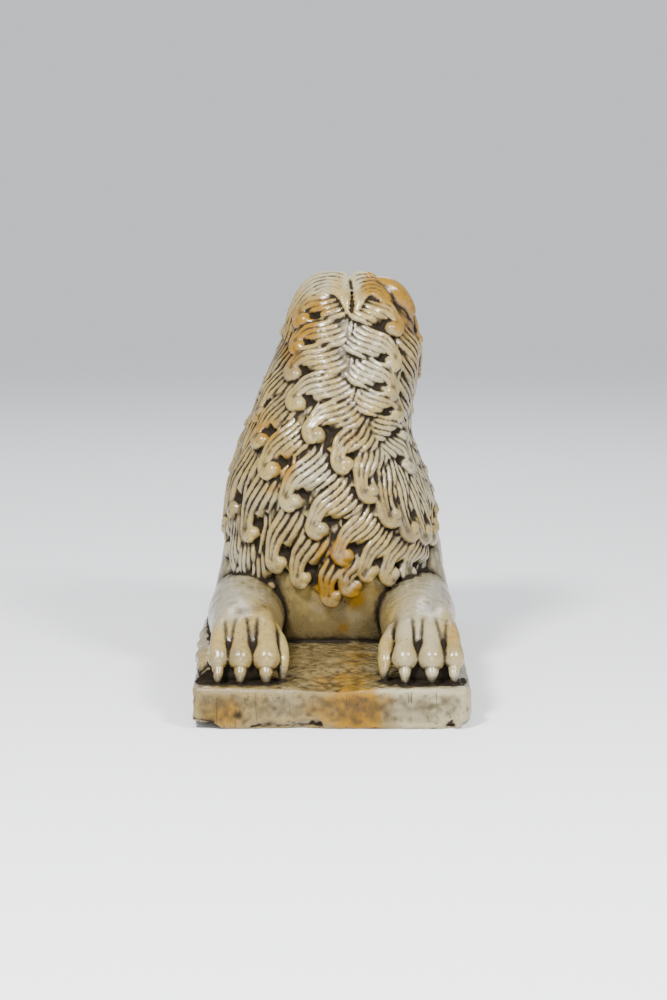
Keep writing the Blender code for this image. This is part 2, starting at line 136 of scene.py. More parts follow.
maneSettings = {
    "strandWidth": 0.55,      # share of its space that a strand fills, as a radius
    "underlap": 14,           # length of each lock hidden under the one above
    "spread": 1.07,           # locks a little wider than their spacing, so that neighbours touch
    "wrapShare": 0.56,        # share of the strands that run on round the curl
    "ring": 1.55,             # curl's outer ring, in curl radii
    "ringStep": 1.35,         # each strand's ring inside the last, in strand radii
    "leastRing": 0.3,
    "belly": 0.21,            # how far a lock swings out in its middle, in widths
    "tuck": 0.34,             # how far it swings back by its tip
    "rootDepth": -4.5,        # roots start this far under the neck's skin
    "tipLift": 11,
    "cornerAngle": 48,        # past this the relief gets lower
    "cornerLoss": 0.30,
    "crownStrand": 2.2,
    "crownLines": 7,
    # each tier: how many locks, side the curl hooks to, width, curl radius, strands,
    # then stations of root angle, root height, tip angle, tip height
    "tiers": [
        (4, 1, 20, 6.5, 4, [(-80, 150, -77, 104), (-66, 124, -60, 82), (-52, 114, -48, 78), (-42, 106, -36, 70)]),
        (7, 1, 30, 9.0, 5, [(-80, 200, -84, 130), (-54, 232, -66, 152), (-34, 206, -46, 130), (-15, 176, -28, 100),
                            (-3, 148, -15, 84), (8, 122, 1, 64), (18, 106, 12, 76)]),
        (4, -1, 34, 7.0, 5, [(86, 250, 92, 190), (90, 216, 93, 158), (88, 184, 90, 128)]),
        (3, -1, 24, 0, 5, [(84, 238, 96, 196), (88, 214, 98, 172), (84, 190, 92, 150)]),
        (3, 1, 28, 0, 6, [(-34, 404, -74, 332), (-70, 364, -84, 284), (-66, 318, -84, 236)]),
        (10, 1, 32, 9.5, 6, [(-54, 352, -75, 280), (-30, 284, -45, 222), (12, 208, -12, 154), (36, 146, 18, 94),
                             (62, 124, 47, 84)]),
        (4, -1, 20, 0, 4, [(46, 352, 68, 312), (46, 318, 72, 276), (54, 284, 76, 248)]),
        (4, -1, 26, 6.0, 5, [(66, 392, 84, 338), (82, 360, 94, 300), (84, 318, 94, 258), (76, 270, 86, 218)]),
        (11, 1, 33, 10.0, 6, [(-6, 386, -48, 358), (-1, 318, -36, 286), (27, 252, 12, 208), (38, 230, 42, 140),
                              (50, 214, 78, 120)]),
        (6, -1, 31, 9.0, 6, [(-1, 384, 38, 350), (-2, 342, 34, 306), (8, 302, 42, 270), (22, 264, 60, 240),
                             (42, 238, 58, 200)]),
        (5, 1, 34, 8.0, 5, [(-96, 396, -104, 346), (-100, 330, -106, 276), (-100, 262, -104, 206),
                            (-98, 196, -100, 140)]),
        (5, -1, 34, 8.0, 5, [(102, 396, 110, 346), (106, 330, 112, 276), (106, 262, 110, 206),
                             (104, 196, 106, 140)]),
        (5, 1, 34, 8.0, 5, [(-118, 398, -128, 352), (-124, 330, -132, 276), (-126, 262, -134, 206)]),
        (5, -1, 34, 8.0, 5, [(118, 398, 130, 352), (126, 330, 136, 276), (130, 262, 140, 206)]),
        (5, 1, 34, 8.0, 5, [(136, 312, 142, 256), (172, 296, 174, 240), (214, 312, 210, 256)]),
    ],
    # whorls of the crown, inner strand then outer strand, as angle and height
    "whorls": [
        ([(-3, 366), (-14, 382), (-30, 386), (-44, 376), (-52, 356), (-60, 330)],
         [(-2, 392), (-8, 402), (-40, 404.5), (-76, 399), (-92, 380), (-98, 350)]),
        ([(3, 366), (14, 381), (25, 384), (33, 374), (38, 358)],
         [(2, 392), (8, 402), (40, 403), (48, 393), (50, 380)])],
    # fine strands in the gaps, and the lowest height that they reach at each angle
    "underHair": {"count": 64, "steps": 45, "from": -112, "to": 112, "top": 386, "radius": 2.3,
                  "ends": [(-112, 130), (-85, 118), (-60, 96), (-40, 88), (-20, 98), (0, 80), (20, 92), (45, 104),
                           (65, 104), (85, 130), (112, 160)]},
    "ear": [(38, 398, 8), (50, 394, 12), (62, 384, 14), (72, 371, 12), (76, 362, 9)],      # angle, height, radius
}
pits = []      # hollows drilled above the curls: place, direction, radius


def underHair():      # fine strands on the neck itself, seen in the gaps between the locks
    settings = maneSettings["underHair"]
    lines = []
    for index in range(settings["count"]):
        base = settings["from"] + (settings["to"] - settings["from"]) * index / (settings["count"] - 1)
        lowest = readRows(settings["ends"], 1, base)
        line = []
        for step in range(settings["steps"] + 1):
            height = settings["top"] - (settings["top"] - lowest) * step / settings["steps"]
            angle = base * (0.55 + 0.45 * eased(step / 12)) + 3 * math.sin(height / 24 + index * 0.7)
            line.append((onNeck(math.radians(angle), height) + neckOut(math.radians(angle), height) * 0.4,
                         settings["radius"] * (1 + wobble(index + step * 0.01, 0.1))))
        lines.append(line)
    return lines


def ballLine(centre, axis, radius):
    line = []
    for step in range(11):
        place = -math.cos(math.pi * step / 10)
        line.append((centre + axis * (radius * place), radius * math.sqrt(max(1 - place * place, 0.002))))
    return line


def lockLines(root, tip, turn, width, curl, strands):
    settings = maneSettings
    start = onNeck(math.radians(root[0]), root[1])
    end = onNeck(math.radians(tip[0]), tip[1])
    down = (end - start).normalized()
    out = neckOut(math.radians((root[0] + tip[0]) / 2), (root[1] + tip[1]) / 2)
    hook = out.cross(down).normalized() * turn
    length = (end - start).length
    width *= settings["spread"]
    pitch = width / strands
    hair = pitch * settings["strandWidth"]
    ring = curl * settings["ring"]
    early = settings["underlap"] / length
    flatter = 1 - settings["cornerLoss"] * eased((abs(tip[0]) - settings["cornerAngle"]) / 30)

    def sway(run):      # how far the whole lock swings away from its hook side
        middle = math.sin(math.pi * min(max(run, 0), 1))
        return width * (settings["belly"] * middle - settings["tuck"] * eased(run * 1.2))

    def rise(run):      # roots start under the lock above, tips stand clear
        return settings["rootDepth"] + settings["tipLift"] * eased((run + early) * 1.15) * flatter

    def ringOf(index):      # how far out a strand runs round the curl
        return max(ring - index * hair * settings["ringStep"], curl * settings["leastRing"])

    lines = []
    for index in range(strands):
        share = index / (strands - 1)
        wraps = curl and share < settings["wrapShare"]
        full = 1 + wobble(index * 3 + root[1] + tip[0], 0.12)
        stop = 1 if wraps or not curl else 1.02 - 0.62 * (share - 0.4)
        line = []
        for step in range(18):
            run = -early + (stop + early) * step / 17
            sideways = sway(run) + (share - 0.5) * width * (0.92 + 0.08 * eased(run * 2))
            sink = 0
            if wraps:
                sideways += (-ringOf(index) - sideways) * eased((run - 0.5) / 0.5)
            elif curl:
                sink = 3.5 * eased((run - stop + 0.22) / 0.22)
            taper = 1 - 0.65 * eased((run - stop + 0.35) / 0.35) * (not wraps)
            thick = hair * (0.55 + 0.45 * eased((run + early) * 4)) * taper
            line.append((layOn(start + down * (length * run) + hook * sideways, rise(run) - sink), thick * full))
        for step in range(1, 8 if wraps else 1):
            bearing = math.radians(180 - step * 21 + index * step * 3)
            reach = ringOf(index) * (1 - 0.072 * step)
            point = end + hook * (math.cos(bearing) * reach) + down * (math.sin(bearing) * reach)
            narrowed = (1, 0.75, 0.35)[max(step - 5, 0)]
            line.append((layOn(point, rise(1) + 0.3 * step), hair * (1 + 0.06 * step) * narrowed))
        lines.append(line)
    for aside in (-0.3, 0, 0.3):      # body of the lock, just under its strands
        pad = []
        last = 1 if aside < 0.2 else 0.75
        for step in range(9):
            run = -early * 0.6 + (last + early * 0.6) * step / 8
            radius = width * (0.24 - 0.05 * max(run, 0))
            lean = aside * width * (1 - 0.35 * eased(run * 1.4 - 0.4))
            point = start + down * (length * run * 0.98) + hook * (sway(run) + lean)
            pad.append((layOn(point, rise(run) + hair * 0.12 - radius), radius))
        lines.append(pad)
    if curl:
        knob = layOn(end + hook * (curl * 0.15), rise(1) - curl * 0.32)
        lines.append(ballLine(knob, out, curl * 0.94))
        pits.append((layOn(end - down * (curl * 1.45) + hook * (curl * 0.55), rise(1) - 3), out, curl * 0.62))
    return lines


def crownLines(stations, strands):
    near, far = stations
    lines = []
    for index in range(strands):
        share = index / (strands - 1)
        line = []
        for step in range(31):
            inner, outer = onCurve(near, step / 30), onCurve(far, step / 30)
            angle, height = [a + (b - a) * share for a, b in zip(inner, outer)]
            lift = 6.8 - 2.0 * eased(1 - step / 5) - 3 * eased((step - 24) / 6)
            line.append((onNeck(math.radians(angle), height) + neckOut(math.radians(angle), height) * lift,
                         maneSettings["crownStrand"] * (1 - 0.35 * eased((step - 20) / 10))))
        lines.append(line)
    return lines


# making and joining forms

def addTubes(name, lines, roundness):
    curve = bpy.data.curves.new(name, "CURVE")
    curve.dimensions = "3D"
    curve.bevel_depth = unit
    curve.bevel_resolution = roundness
    curve.use_fill_caps = True
    for line in lines:
        spline = curve.splines.new("POLY")
        spline.points.add(len(line) - 1)
        for spot, (point, radius) in zip(spline.points, line):
            spot.co = (point[0] * unit, point[1] * unit, point[2] * unit + ground, 1)
            spot.radius = radius
    made = bpy.data.objects.new(name, curve)
    bpy.context.scene.collection.objects.link(made)
    return made


def sweep(stations, count):
    return [(values[:3], values[3]) for values in (onCurve(stations, i / (count - 1)) for i in range(count))]


def addBall(name, centre, radii, turn=0):
    bpy.ops.mesh.primitive_uv_sphere_add(
        segments=64, ring_count=40, radius=unit, rotation=(0, 0, math.radians(turn)), scale=radii,
        location=(centre[0] * unit, centre[1] * unit, centre[2] * unit + ground))
    bpy.context.active_object.name = name
    return bpy.context.active_object


def addLoft(name, rings):
    size = len(rings[0])
    points = [(p[0] * unit, p[1] * unit, p[2] * unit + ground) for ring in rings for p in ring]
    faces = []
    for row in range(len(rings) - 1):
        for i in range(size):
            j = (i + 1) % size
            faces.append((row * size + i, row * size + j, (row + 1) * size + j, (row + 1) * size + i))
    faces.append(tuple(reversed(range(size))))
    faces.append(tuple(range((len(rings) - 1) * size, len(rings) * size)))
    mesh = bpy.data.meshes.new(name)
    mesh.from_pydata(points, [], faces)
    made = bpy.data.objects.new(name, mesh)
    bpy.context.scene.collection.objects.link(made)
    return made


def makeNeck():
    rows = neckSettings["rows"]
    around = neckSettings["around"]
    levels = np.linspace(rows[0][0], rows[-1][0], neckSettings["levels"])
    return addLoft("neck", [[onNeck(2 * math.pi * i / around, level) for i in range(around)] for level in levels])


bodySettings = {
    # station, middle height, half width, half height
    "rows": [(-60, 106, 98, 104), (0, 112, 100, 112), (80, 112, 94, 112), (150, 112, 96, 112),
             (215, 102, 98, 102), (258, 88, 84, 84), (284, 76, 54, 58), (294, 70, 24, 30)],
    "around": 80, "levels": 70,
}


def makeBody():
    rows, around = bodySettings["rows"], bodySettings["around"]
    rings = []
    for y in np.linspace(rows[0][0], rows[-1][0], bodySettings["levels"]):
        middle, side, tall = readRows(rows, 1, y), readRows(rows, 2, y), readRows(rows, 3, y)
        rings.append([(side * math.cos(2 * math.pi * i / around), y, middle - tall * math.sin(2 * math.pi * i / around))
                      for i in range(around)])
    return addLoft("body", rings)


pawSettings = {
    # elbow to wrist: across, along, height, radius
    "limb": [(78, 10, 120, 40), (82, 0, 80, 43), (90, -20, 42, 43), (94, -90, 38, 42), (92, -165, 38, 39),
             (91, -205, 35, 34), (91, -230, 25, 23)],
    # toes: wrist, knuckle and tip across, radius
    "left": [(-112, -116, -118, 10.5), (-94, -95, -95, 12), (-74, -70, -68, 13)],
    "right": [(82, 78, 76, 12), (100, 103, 104, 13), (118, 124, 127, 10)],
    "innerToe": {-1: (-54, 8), 1: (58, 8)},
}


def makeForeLimb(side):
    lines = [sweep([(side * x, y, z, radius) for x, y, z, radius in pawSettings["limb"]], 50)]
    toes = pawSettings["left" if side < 0 else "right"]
    for wristX, knuckleX, tipX, radius in toes:
        lines.append(sweep([(wristX, -170, 50, radius), (wristX, -206, 55, radius),
                            (knuckleX, -238, 48, radius * 0.94), (tipX, -256, 36, radius * 0.88),
                            (tipX, -264, 27, radius * 1.1), (tipX, -264, 20, radius)], 34))
        lines.append(ballLine(Vector((tipX, -265, 25)), Vector((0, 0, 1)), radius * 1.14))
        lines.append(sweep([(tipX, -269, 18, radius * 0.62), (tipX, -276, 11, radius * 0.52),
                            (tipX, -279, 5, radius * 0.38), (tipX, -280, 0, radius * 0.24)], 16))
    for one, other in zip(toes, toes[1:]):      # flesh between the toes
        x = (one[1] + other[1]) / 2
        lines.append(sweep([(x, -176, 52, 17), (x, -208, 52.5, 16.5), (x, -236, 46, 13), (x, -251, 33, 10),
                            (x, -255, 12, 9)], 24))
    first, last = toes[0][2], toes[-1][2]
    lines.append(sweep([(first + 6, -250, 8, 11), ((first + last) / 2, -258, 8, 11), (last - 6, -250, 8, 11)], 12))
    x, radius = pawSettings["innerToe"][side]
    lines.append(sweep([(x + side * 8, -215, 48, radius), (x, -240, 36, radius), (x - side * 2, -256, 22, radius),
                        (x - side * 3, -262, 8, radius * 0.6), (x - side * 3, -263, -2, radius * 0.4)], 24))
    return addTubes("foreLimb", lines, 12)


def makeHindLimb(side):
    haunch = addBall("haunch", (side * 78, 190, 78), (47, 88, 78), -side * 4)
    lines = [sweep([(side * 100, 262, 26, 26), (side * 108, 200, 24, 24), (side * 112, 130, 22, 21),
                    (side * 113, 90, 20, 22), (side * 113, 66, 17, 18)], 30)]
    for offset in (-15, -5, 5, 15):
        lines.append(sweep([(side * 113 + offset * 0.8, 90, 24, 8), (side * 113 + offset, 60, 22, 8),
                            (side * 113 + offset, 46, 12, 7.5)], 14))
    return [haunch, addTubes("hindFoot", lines, 10)]


def makeTail():
    return addTubes("tail", [sweep([
        (0, 262, 118, 12), (14, 284, 96, 11), (34, 288, 52, 9.5), (62, 284, 24, 9), (98, 268, 20, 9),
        (122, 236, 26, 9), (124, 200, 48, 9.5), (118, 168, 78, 11), (110, 146, 100, 14), (104, 132, 112, 10),
        (100, 122, 118, 4)], 90)], 8)


headSettings = {"turn": -12, "middle": 22}


def makeHead():
    turn = headSettings["turn"]
    cosTurn, sinTurn = math.cos(math.radians(turn)), math.sin(math.radians(turn))

    def place(sideways, forward, height):
        return Vector((headSettings["middle"] + sideways * cosTurn - forward * sinTurn,
                       sideways * sinTurn + forward * cosTurn, height))

    parts = [addBall("skull", place(0, 34, 344), (50, 56, 46), turn),
             addBall("cheek", place(-26, 58, 322), (26, 34, 30), turn),
             addBall("cheek", place(26, 58, 322), (26, 34, 30), turn),
             addBall("muzzle", place(0, 92, 322), (26, 36, 20), turn),
             addBall("jaw", place(0, 84, 300), (20, 32, 13), turn)]
    lines = [sweep([(*place(0, 66, 372), 12), (*place(0, 92, 350), 11), (*place(0, 120, 338), 11),
                    (*place(0, 127, 330), 8)], 20),
             sweep([(*place(-14, 120, 330), 5), (*place(0, 128, 335), 8), (*place(14, 120, 330), 5)], 15)]
    for side in (-1, 1):
        lines.append(sweep([(*place(side * 10, 84, 361), 5), (*place(side * 24, 82, 365), 7),
                            (*place(side * 40, 66, 356), 5)], 15))
        lines.append(ballLine(place(side * 23, 82, 351), Vector((0, 0, 1)), 8))
        lines.append(ballLine(place(side * 12, 110, 318), Vector((0, 0, 1)), 15))
        lines.append(sweep([(*place(side * 40, 44, 356), 9), (*place(side * 48, 40, 368), 10),
                            (*place(side * 50, 38, 376), 4)], 14))
    return parts + [addTubes("face", lines, 8)]


def makeMane():
    lines = []
    for count, turn, width, curl, strands, stations in maneSettings["tiers"]:
        for index in range(count):
            values = onCurve(stations, index / (count - 1))
            seed = index + width + curl * 3 + stations[0][0]
            lines += lockLines(values[:2], values[2:], turn, width + wobble(seed, 1.5),
                               curl * (1 + wobble(seed + 5, 0.08)), strands)
    lines += underHair()
    for stations in maneSettings["whorls"]:
        lines += crownLines(stations, maneSettings["crownLines"])
    ear = [onCurve(maneSettings["ear"], step / 14) for step in range(15)]
    lines.append([(onNeck(math.radians(a), h) + neckOut(math.radians(a), h) * (r * 0.25 - 2), r) for a, h, r in ear])
    return addTubes("mane", lines, 4)


plinthSettings = {
    "edge": 0.003, "dip": 0.004, "dipReach": 0.035,
    "seatRadius": 0.056, "seatTop": 0.269, "seatY": 0.188, "seatDepth": 0.05,
    # rough rock left beside the left fore limb: across, along, height, radius
    "rock": [(-126, -264, 4, 12), (-130, -225, 16, 13), (-131, -170, 18, 13), (-127, -100, 22, 16),
             (-122, -40, 26, 16)],
}


def makePlinth():
    width, length, height = block["plinthWidth"], block["plinthLength"], block["plinthHeight"]
    bpy.ops.mesh.primitive_cube_add(size=1, location=(0, 0, height / 2), scale=(width, length, height))
    plinth = bpy.context.active_object
    plinth.name = "plinth"
    bpy.ops.object.transform_apply(location=True, rotation=False, scale=True)
    bpy.ops.object.mode_set(mode="EDIT")
    bpy.ops.mesh.select_all(action="SELECT")
    bpy.ops.mesh.bevel(offset=plinthSettings["edge"], segments=3)
    bpy.ops.object.mode_set(mode="OBJECT")
    return plinth


def makeSeat():
    depth = plinthSettings["seatDepth"]
    bpy.ops.mesh.primitive_cylinder_add(vertices=96, radius=plinthSettings["seatRadius"], depth=depth, location=(
        0, plinthSettings["seatY"], plinthSettings["seatTop"] - depth / 2))
    seat = bpy.context.active_object
    seat.name = "seat"
    return seat


def makeRoughGround():
    rise = addBall("rise", (0, -130, -5), (78, 150, 11))      # low swell of the ground between the paws
    return [rise, addTubes("roughSide", [sweep(plinthSettings["rock"], 26)], 8)]


def fuse(parts, name, grain):
    bpy.ops.object.select_all(action="DESELECT")
    for part in parts:
        part.select_set(True)
    bpy.context.view_layer.objects.active = parts[0]
    bpy.ops.object.convert(target="MESH")
    bpy.ops.object.join()
    bpy.ops.object.transform_apply(location=True, rotation=True, scale=True)
    fused = bpy.context.view_layer.objects.active
    fused.name = name
    remesh = fused.modifiers.new("remesh", "REMESH")
    remesh.mode = "VOXEL"
    remesh.voxel_size = grain
    bpy.ops.object.modifier_apply(modifier=remesh.name)
    return fused


def keepLargest(target):
    bpy.ops.object.select_all(action="DESELECT")
    target.select_set(True)
    bpy.context.view_layer.objects.active = target
    bpy.ops.mesh.separate(type="LOOSE")
    pieces = sorted(bpy.context.selected_objects, key=lambda piece: len(piece.data.vertices))
    for small in pieces[:-1]:
        bpy.data.objects.remove(small)
    pieces[-1].name = "carvedLion"
    bpy.context.view_layer.objects.active = pieces[-1]
    return pieces[-1]


pawHoles = [      # drilled between the toes: across, along, height, radius
    (-107, -257, 33, 4.2), (-81, -257, 33, 4.6), (68, -254, 38, 4.2), (92, -257, 36, 4.6), (116, -256, 36, 4.0)]


# carve the block

finishSettings = {
    "grain": 0.0013,      # size of the grid on which the forms are fused
    "firstTriangles": 235000, "triangles": 194000,
    "inside": 0.00005,    # kept inside the sizes of the solid by this much
}

print("making the forms")
forms = [makeNeck(), makeBody(), makeForeLimb(-1), makeForeLimb(1)]
forms += makeHindLimb(-1) + makeHindLimb(1)
forms += [makeTail(), makeMane(), makePlinth(), makeSeat()]
forms += makeHead() + makeRoughGround()
print("fusing them")
lion = fuse(forms, "carvedLion", finishSettings["grain"])
lion = keepLargest(lion)
print("fused", len(lion.data.vertices), "points")


def pointsOf(target):
    points = np.empty(len(target.data.vertices) * 3)
    target.data.vertices.foreach_get("co", points)
    return points.reshape(-1, 3)


def movePoints(target, points):
    target.data.vertices.foreach_set("co", points.ravel())
    target.data.update()


def edgesOf(target):
    edges = np.empty(len(target.data.edges) * 2, dtype=np.int32)
    target.data.edges.foreach_get("vertices", edges)
    return edges.reshape(-1, 2)


def normalsOf(target):
    normals = np.empty(len(target.data.vertices) * 3)
    target.data.vertices.foreach_get("normal", normals)
    return normals.reshape(-1, 3)


def treeOf(points):
    tree = kdtree.KDTree(len(points))
    for index, point in enumerate(points):
        tree.insert(point, index)
    tree.balance()
    return tree


def relaxed(points, edges, rounds):
    count = len(points)
    degree = np.bincount(edges.ravel(), minlength=count)[:, None]
    for _ in range(rounds):
        total = np.empty_like(points)
        for axis in range(3):
            total[:, axis] = (np.bincount(edges[:, 0], points[edges[:, 1], axis], count)
                              + np.bincount(edges[:, 1], points[edges[:, 0], axis], count))
        points = points * 0.4 + total / degree * 0.6
    return points


def lump(points, scale, seed=0.0):      # smooth noise from 0 to 1, cells of this size in metres
    grid = points / scale + seed * 7.31
    base = np.floor(grid)
    part = grid - base
    part = part * part * (3 - 2 * part)
    total = np.zeros(len(points))
    for corner in range(8):
        step = np.array([corner & 1, corner >> 1 & 1, corner >> 2 & 1])
        weight = np.prod(np.where(step == 1, part, 1 - part), axis=1)
        spot = base + step
        total += weight * np.mod(np.abs(np.sin(spot @ np.array([12.9898, 78.233, 37.719])) * 43758.5453), 1)
    return total


def ramp(values, start, end):
    share = np.clip((values - start) / (end - start), 0, 1)
    return share * share * (3 - 2 * share)


wearSettings = {
    "uneven": 0.0007,         # hand carving, everywhere
    "groundRough": 0.0040,    # tooled ground between the paws
    "sideRough": 0.0028,      # rough-hewn flank of the plinth
    "chip": 0.0048,           # usual size of chips along the plinth's edges
    "breakWidth": 0.032, "breakHeight": 0.009, "roundedCorner": 0.012,
    "flakes": 0.0016, "waves": 0.0012, "pocks": 0.0004,      # depths on the plinth's faces
    "curlHole": 0.9, "toeHole": 1.6,      # depths of drilled holes, in their own radii
}


def carveWear(points, normals):
    half = np.array([block["plinthWidth"], block["plinthLength"]]) / 2
    uneven = lump(points, 0.016, 1) - 0.5 + 0.5 * (lump(points, 0.007, 2) - 0.5)
    onMane = ramp(points[:, 2], ground + 0.03, ground + 0.08)
    wrist = ramp(points[:, 2], ground + 0.034, ground + 0.050) * ramp(-points[:, 1], 0.150, 0.175)
    wrist *= 1 - ramp(-points[:, 1], 0.225, 0.245)
    points += (relaxed(points, edges, 40) - points) * wrist[:, None]
    points += normals * (uneven * wearSettings["uneven"] * (1 + 0.6 * onMane))[:, None]

    # rough ground on top of the plinth, ahead of the breast and beside the paws
    upward = ramp(normals[:, 2], 0.45, 0.85) * ramp(points[:, 2], ground - 0.006, ground - 0.001)
    upward *= 1 - ramp(points[:, 2], ground + 0.010, ground + 0.018)
    rough = (0.6 * lump(points, 0.022, 3) + 0.3 * lump(points, 0.009, 4) + 0.2 * lump(points, 0.004, 5) - 0.62)
    points[:, 2] += upward * rough * wearSettings["groundRough"]

    # worn dip in the middle of the front edge
    dip = np.exp(-((points[:, 0] - 0.003) / plinthSettings["dipReach"]) ** 2)
    dip *= 1 - ramp(points[:, 1], -half[1] + 0.010, -half[1] + 0.060)
    points[:, 2] -= plinthSettings["dip"] * dip * ramp(points[:, 2], 0.025, ground) * (1 - onMane)

    # faces of the plinth: shallow waves, flakes and the rough left flank
    onPlinth = 1 - ramp(points[:, 2], ground - 0.001, ground + 0.004)
    facing = onPlinth * (1 - ramp(np.abs(normals[:, 2]), 0.5, 0.8))
    flake = ramp(lump(points, 0.024, 6) + 0.3 * lump(points, 0.008, 7), 0.70, 1.15)
    flake *= 1 - ramp(points[:, 2], 0.014, 0.030) * 0.8
    relief = wearSettings["flakes"] * flake + wearSettings["waves"] * lump(points, 0.030, 8)
    relief += wearSettings["pocks"] * lump(points, 0.005, 9)
    points -= normals * (facing * relief)[:, None]
    flank = facing * ramp(-normals[:, 0], 0.5, 0.9) * (1 - ramp(points[:, 1], -0.19, -0.12))
    points -= normals * (flank * wearSettings["sideRough"] * lump(points, 0.012, 10) * lump(points, 0.005, 11))[:, None]

    # rough rock beside the left fore limb
    rock = ramp(-points[:, 0], 0.108, 0.122) * ramp(-points[:, 1], 0.06, 0.10)
    rock *= 1 - ramp(-points[:, 1], 0.272, 0.285)
    rock *= (ramp(points[:, 2], ground - 0.004, ground + 0.003)
             * (1 - ramp(points[:, 2], ground + 0.024, ground + 0.040)))
    rough = lump(points, 0.011, 20) + 0.5 * lump(points, 0.005, 21) - 0.9
    points += normals * (rock * wearSettings["sideRough"] * 1.4 * rough)[:, None]

    # edges: chamfers whose size wanders, larger where a chip has gone
    def edge(first, firstSign, firstPlace, second, secondSign, secondPlace, size):
        one = (firstPlace - points[:, first] * firstSign)
        two = (secondPlace - points[:, second] * secondSign)
        short = np.clip(size - one - two, 0, None) / 2 * ((one > -0.004) & (two > -0.004))
        points[:, first] -= firstSign * short
        points[:, second] -= secondSign * short

    chip = wearSettings["chip"]
    along = points.copy()
    along[:, 2] = 0
    ragged = 1.35 * chip * (0.35 + 1.6 * ramp(lump(along, 0.017, 12), 0.55, 0.95) + 0.5 * lump(points, 0.005, 13))
    soft = chip * (0.45 + 0.9 * ramp(lump(along, 0.028, 14), 0.6, 1.0) + 0.25 * lump(points, 0.006, 15))
    for side in (-1, 1):
        edge(1, side, half[1], 2, -1, 0, ragged)
        edge(0, side, half[0], 2, -1, 0, ragged)
        edge(1, side, half[1], 2, 1, block["plinthHeight"], soft * (0.8 + 0.3 * (side > 0)))
        edge(0, side, half[0], 2, 1, block["plinthHeight"], soft)
        upright = chip * (0.7 + 1.1 * lump(points, 0.010, 16))
        edge(0, side, half[0], 1, -1, half[1], upright * (1.0 if side < 0 else 1.4))
        edge(0, side, half[0], 1, 1, half[1], upright * 1.2)

    # lower corners of the front: one broken off, one worn round
    broken = wearSettings["breakHeight"] * (1 + 0.8 * (lump(points, 0.010, 17) - 0.5))
    breakEnd = -half[0] + wearSettings["breakWidth"]
    broken *= 1 - ramp(points[:, 0], breakEnd - 0.012, breakEnd + 0.004)
    broken *= 1 - ramp(points[:, 1], -half[1] + 0.010, -half[1] + 0.050)
    low = broken > points[:, 2]
    points[low, 2] = broken[low]
    atFront = 1 - ramp(points[:, 1], -half[1] + 0.01, -half[1] + 0.04)
    edge(0, 1, half[0], 2, -1, 0, wearSettings["roundedCorner"] * 1.3 * atFront)

    # drilled hollows above the curls and between the toes
    tree = treeOf(points)
    # dark: how far each point lies in a drilled hole; it is later painted darker there, as dirt and painted shade
    dark = np.zeros(len(points))
    holes = [(spot, direction, radius, wearSettings["curlHole"]) for spot, direction, radius in pits]
    holes += [(Vector(hole[:3]), Vector((0, -0.8, 0.6)), hole[3], wearSettings["toeHole"]) for hole in pawHoles]
    for spot, direction, radius, depth in holes:
        centre = Vector((spot[0] * unit, spot[1] * unit, spot[2] * unit + ground))
        for place, index, distance in tree.find_range(centre, radius * 2.1 * unit):
            share = math.exp(-(distance / (radius * unit)) ** 2)
            points[index] -= np.array(direction) * (share * depth * radius * unit)
            dark[index] = max(dark[index], share)
    points += (relaxed(points, edges, 3) - points) * np.clip(dark * 1.5, 0, 1)[:, None]
    return dark


print("wearing and drilling it")
edges = edgesOf(lion)
points = relaxed(pointsOf(lion), edges, 1)
movePoints(lion, points)
drilled = carveWear(points, normalsOf(lion))
movePoints(lion, points)

# where it is painted darker, as dirt and painted shade: in hollows at three scales, in drilled holes, low down and on
# the upper flanks; the breast is painted lighter
shadeAndDirtSettings = {
    "drilled": 0.5, "clawFeet": 0.75, "shadedSides": 0.14, "nearGround": 0.55, "lighterBreast": -0.20,
    "scales": [(6, 0.35, 0.0005), (22, 0.40, 0.0015), (70, 0.40, 0.004)],      # rounds of smoothing, weight, depth
}
normals = normalsOf(lion)
shadeAndDirt = shadeAndDirtSettings["drilled"] * drilled
# painted shade and dirt where the toes meet the ground
nearGround = 1 - ramp(points[:, 2], ground, ground + 0.016)
nearGround *= ramp(points[:, 2], ground - 0.008, ground - 0.002) * ramp(np.abs(points[:, 0]), 0.050, 0.060)
nearGround *= ramp(-points[:, 1], 0.235, 0.250) * (1 - ramp(-points[:, 1], 0.277, 0.287))
# painted shade and dirt in a band at the foot of the claws
clawFeet = 1 - ramp(points[:, 2], ground + 0.006, ground + 0.020)
clawFeet *= ramp(points[:, 2], ground, ground + 0.003) * ramp(-points[:, 1], 0.245, 0.256)
# painted shade on the upper flanks that face sideways
shadedSides = ramp(np.abs(normals[:, 0]), 0.45, 0.90) * ramp(points[:, 2], ground + 0.06, ground + 0.10)
# painted light: the chest is kept lighter, taking back some of the painted shade from its hollow
lighterBreast = (1 - ramp(np.abs(points[:, 0]), 0.045, 0.060)) * ramp(-normals[:, 1], 0.3, 0.6)
lighterBreast *= ramp(points[:, 2], ground + 0.010, ground + 0.025)
lighterBreast *= 1 - ramp(points[:, 2], ground + 0.070, ground + 0.095)
for name, share in (("clawFeet", clawFeet), ("shadedSides", shadedSides), ("nearGround", nearGround), ("lighterBreast", lighterBreast)):
    shadeAndDirt += shadeAndDirtSettings[name] * share
# painted shade and dirt in hollows at three scales; the larger scales are a painted shade much like ambient occlusion
smoother = points
for rounds, weight, depth in shadeAndDirtSettings["scales"]:
    smoother = relaxed(smoother, edges, rounds)
    shadeAndDirt += weight * np.clip(((smoother - points) * normals).sum(1) / depth, -1, 1)

